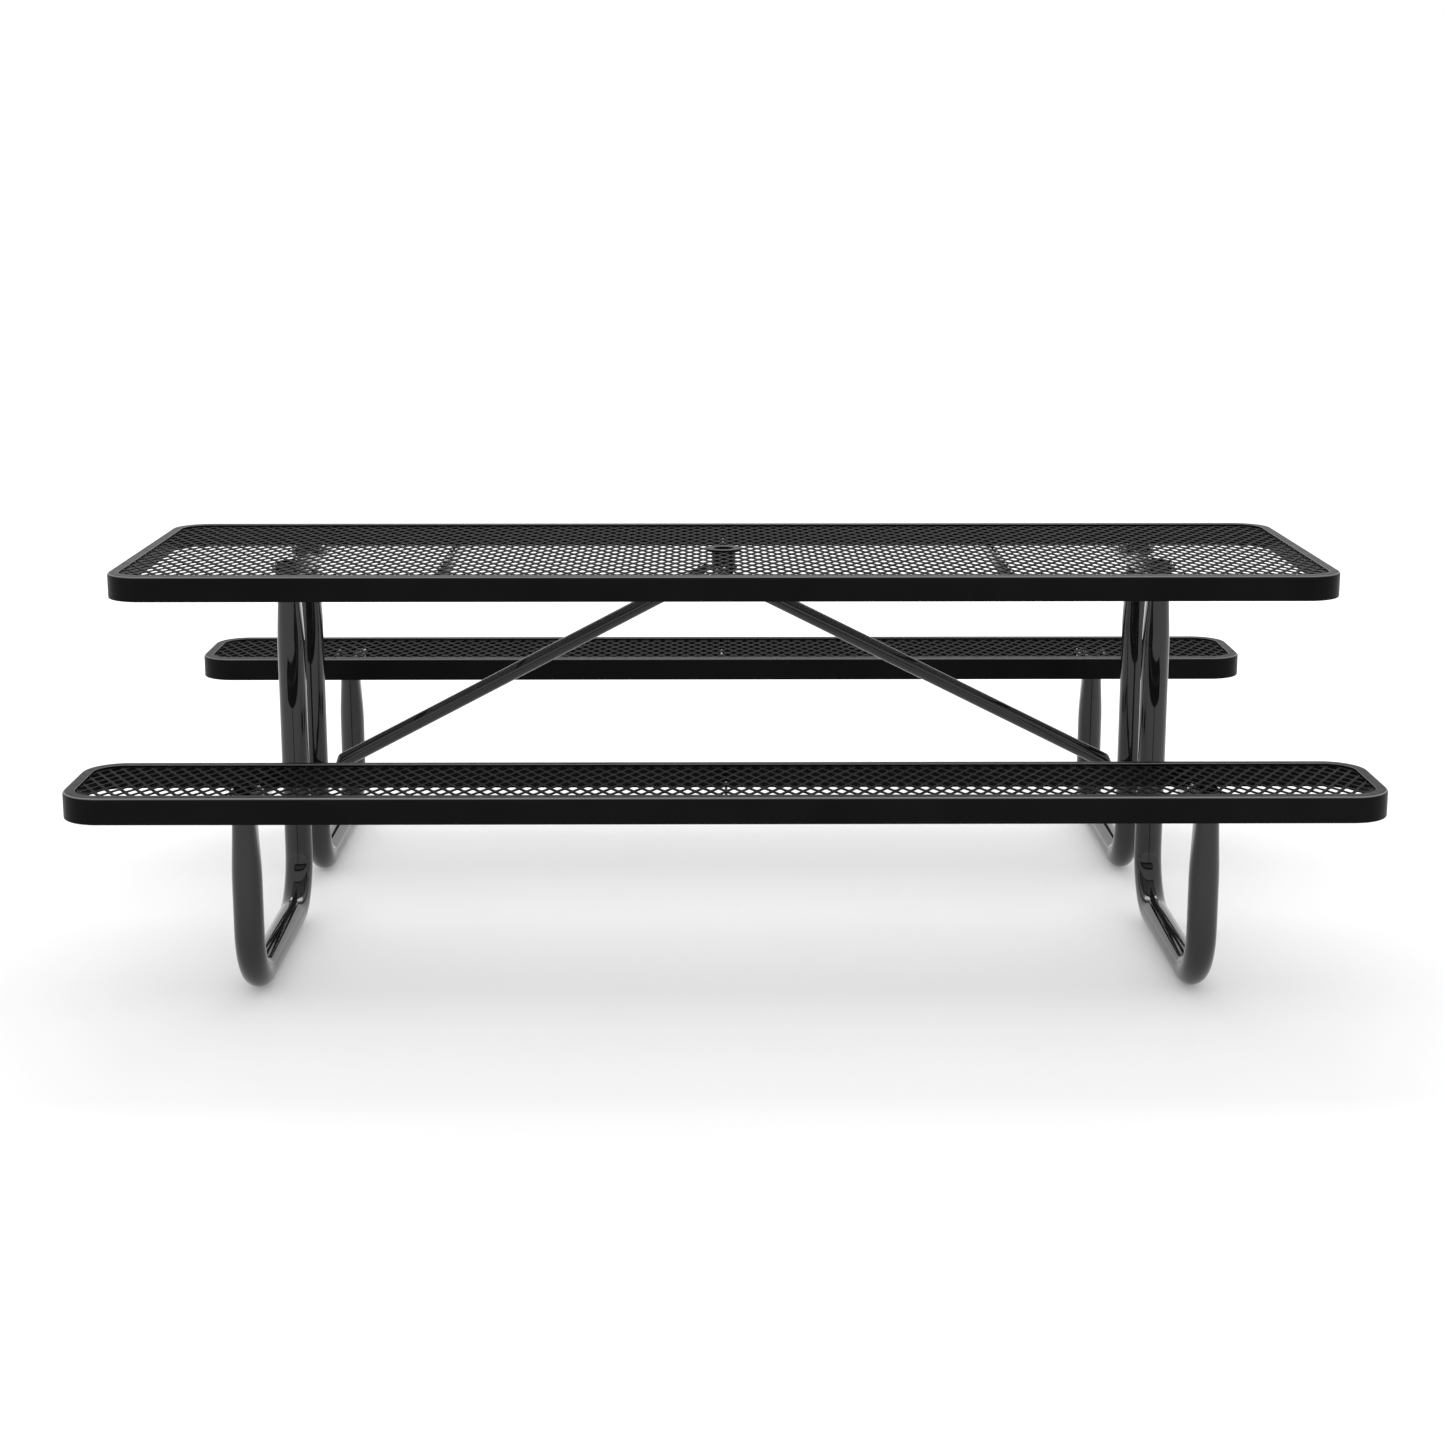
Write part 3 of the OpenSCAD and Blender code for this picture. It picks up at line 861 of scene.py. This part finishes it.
def build_leg_fasteners(group, y, bar_z):
    grip = PRESS_T + BAR_T
    bolts, washers, nuts = bmesh.new(), bmesh.new(), bmesh.new()
    for k, place in enumerate(leg_bolt_places(y, bar_z)):
        turned = place @ Matrix.Rotation(math.radians(HEX_TURN * k), 4, "Z")
        add_hex(bolts, turned, WASHER_T, WASHER_T + HEAD_H)
        end = -grip - WASHER_T - NUT_H - THREAD_PAST
        add_shank(bolts, place, WASHER_T, end, LEG_THREAD)
        add_washer(washers, place, 0.0)
        add_washer(washers, place, -grip - WASHER_T)
        add_hex(nuts, turned, -grip - WASHER_T - NUT_H, -grip - WASHER_T, True)
    for kind, bm in (("bolts", bolts), ("washers", washers), ("nuts", nuts)):
        node = f"{group}_leg_{kind}"
        place_piece(node + "_zinc", close_up(bm, node), "fastener_steel", [node])


build_leg_fasteners("table", INNER_Y, TABLE_BAR_Z)
build_leg_fasteners("bench", OUTER_Y, BENCH_BAR_Z)


def build_brace_fasteners():
    bolts, nuts = bmesh.new(), bmesh.new()
    down = Matrix.Rotation(math.pi, 4, "X")
    stack = TAB_T + BAR_T
    for turned in (False, True):
        base = brace_place(turned)
        upper = base @ Matrix.Translation((UPPER_BOLT_S, 0, BRACE_TOP_Z - TAB_T)) @ down
        lower = base @ Matrix.Translation((BRACE_RUN, 0, TIE_TOP_Z + TAB_T))
        for place in (upper, lower):
            add_hex(bolts, place, 0.0, HEAD_H)
            add_shank(bolts, place, 0.0, -stack - NUT_H - THREAD_PAST, BRACE_THREAD)
            add_hex(nuts, place, -stack - NUT_H, -stack, True)
    for node, bm in (("brace_bolts", bolts), ("brace_nuts", nuts)):
        place_piece(node + "_zinc", close_up(bm, node), "fastener_steel", [node])


build_brace_fasteners()

# ---- stage: floor, light and camera ----

FLOOR_HALF = 60.0
CAMERA_PLACE = (-0.0364, -5.2007, 1.5249)
CAMERA_DOWN = 0.2163
CAMERA_TURN = -0.0066

floor_mesh = bpy.data.meshes.new("floor")
floor_mesh.from_pydata(
    [(-FLOOR_HALF, -FLOOR_HALF, 0), (FLOOR_HALF, -FLOOR_HALF, 0),
     (FLOOR_HALF, FLOOR_HALF, 0), (-FLOOR_HALF, FLOOR_HALF, 0)], [], [(0, 1, 2, 3)])
floor = bpy.data.objects.new("floor", floor_mesh)
bpy.context.scene.collection.objects.link(floor)
floor_pale = finish_material(
    "floor_pale", grey(0.78), grey(0.80), 0.7, (0.85, 0.9), 3.0, [(30.0, 0.02, 0.001)],
    Specular_IOR_Level=0.0, Emission_Color=(1, 1, 1, 1))
floor_mesh.materials.append(floor_pale)


def brighten_outwards(material, near, far, near_glow, far_glow):
    """Lets the floor glow more away from the table, so that it fades to white."""
    tree = material.node_tree
    place = tree.nodes.new("ShaderNodeTexCoord")
    reach = tree.nodes.new("ShaderNodeVectorMath")
    reach.operation = "LENGTH"
    tree.links.new(place.outputs["Object"], reach.inputs[0])
    glow = spread(tree, reach.outputs["Value"], near_glow, far_glow, near, far)
    tree.links.new(glow, tree.nodes["Principled BSDF"].inputs["Emission Strength"])


brighten_outwards(floor_pale, 1.4, 3.2, 0.19, 0.28)

world = bpy.data.worlds.new("studio")
bpy.context.scene.world = world
world.use_nodes = True
background = world.node_tree.nodes["Background"]
background.inputs["Color"].default_value = (1, 1, 1, 1)
background.inputs["Strength"].default_value = 1.0


def add_softbox(name, place, target, width, height, radiance):
    """Rectangular area light that faces target and shows the given radiance."""
    light = bpy.data.lights.new(name, "AREA")
    light.shape = "RECTANGLE"
    light.size, light.size_y = width, height
    light.energy = radiance * math.pi * width * height
    lamp = bpy.data.objects.new(name, light)
    lamp.location = place
    lamp.rotation_euler = (Vector(target) - Vector(place)).to_track_quat("-Z", "Y").to_euler()
    bpy.context.scene.collection.objects.link(lamp)


add_softbox("back_softbox", (0, 4.4, 4.2), (0, 0, 0.6), 6.0, 2.0, 4.0)

camera_data = bpy.data.cameras.new("camera")
camera_data.sensor_width = 36.0
camera_data.lens = 62.25
camera_data.clip_end = 300.0
camera = bpy.data.objects.new("camera", camera_data)
camera.location = CAMERA_PLACE
camera.rotation_euler = (math.pi / 2 - CAMERA_DOWN, 0.0, CAMERA_TURN)
bpy.context.scene.collection.objects.link(camera)
bpy.context.scene.camera = camera
bpy.context.scene.view_settings.view_transform = "Standard"
